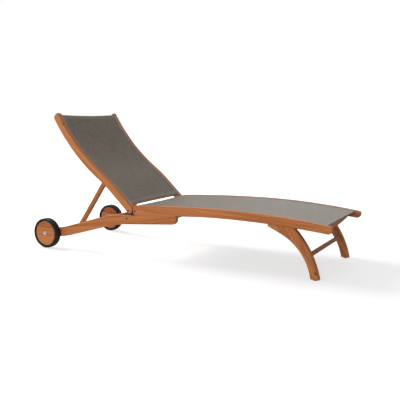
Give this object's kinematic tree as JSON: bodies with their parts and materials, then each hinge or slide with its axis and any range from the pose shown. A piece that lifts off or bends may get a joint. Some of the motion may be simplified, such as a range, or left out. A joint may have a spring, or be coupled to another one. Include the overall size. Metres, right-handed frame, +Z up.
{
  "type": "sun lounger",
  "caption": "Reclining hardwood sun lounger with woven mesh slings, curved front legs, and wheels at the head end of S-curved arms.",
  "frame": {"origin": "on the floor under the middle of the bounding box of the lounger as pictured", "axes": "+X from the wheels at the head end to the feet at the foot end, +Y across to the sitter's left, +Z up"},
  "size_m": [1.982, 0.7576, 0.8734],
  "materials": {
    "wood": "oiled orange-brown hardwood, satin",
    "fabric": "woven mesh, taupe grey",
    "aluminium": "mill finish extrusion",
    "steel": "zinc plated",
    "rubber": "black rubber",
    "nylon": "black nylon"
  },
  "bodies": {
    "frame": {"seat_rail_right": "wood", "seat_rail_left": "wood", "wheel_arm_right": "wood", "wheel_arm_left": "wood", "front_leg_right": "wood", "front_leg_left": "wood", "hinge_plate_right": "steel", "hinge_plate_left": "steel", "strut_rack_right": "wood", "strut_rack_left": "wood", "seat_track_right": "aluminium", "seat_track_left": "aluminium", "leg_stretcher": "wood", "axle_bar": "wood", "foot_cross_bar": "wood", "middle_cross_rail": "wood", "seat_sling": "fabric", "seat_keder_rods": "nylon", "foot_glides": "nylon", "seat_bar_dowels": "wood", "arm_dowels": "wood", "leg_dowels": "wood", "seat_track_screws": "steel", "rack_screws": "steel", "frame_bolts": "steel", "hinge_pivot_bolts": "steel", "plate_nuts": "steel", "hinge_washers": "steel", "wheel_bolts": "steel", "wheel_spacers": "steel", "hub_washers": "steel", "cap_nuts": "steel"},
    "backrest": {"back_rail_right": "wood", "back_rail_left": "wood", "back_track_right": "aluminium", "back_track_left": "aluminium", "back_top_bar": "wood", "back_lower_bar": "wood", "back_sling": "fabric", "back_keder_rods": "nylon", "back_bar_dowels": "wood", "back_track_screws": "steel", "hinge_bushes": "nylon", "strut_pivot_screws": "steel", "strut_spacers": "steel"},
    "support": {"strut_right": "wood", "strut_left": "wood", "support_bar": "wood"},
    "wheel_right": {"wheel_disc_right": "wood", "tyre_right": "rubber", "hub_bush_right": "nylon"},
    "wheel_left": {"wheel_disc_left": "wood", "tyre_left": "rubber", "hub_bush_left": "nylon"}
  },
  "joints": [
    {"name": "backrest_recline", "type": "hinge", "parent": "frame", "child": "backrest", "pos_m": [-0.27, 0, 0.285], "axis": [0, 1, 0], "range_deg": [-46, 20]},
    {"name": "support_swing", "type": "hinge", "parent": "backrest", "child": "support", "pos_m": [-0.46152, 0, 0.45935], "axis": [0, 1, 0], "range_deg": [-32, 73.6]},
    {"name": "wheel_right_roll", "type": "hinge", "parent": "frame", "child": "wheel_right", "pos_m": [-0.894, -0.3445, 0.097], "axis": [0, 1, 0], "continuous": true},
    {"name": "wheel_left_roll", "type": "hinge", "parent": "frame", "child": "wheel_left", "pos_m": [-0.894, 0.3445, 0.097], "axis": [0, 1, 0], "continuous": true}
  ],
  "couplings": [
    {"joint": "support_swing", "follows": "backrest_recline", "ratio": -1.6}
  ]
}
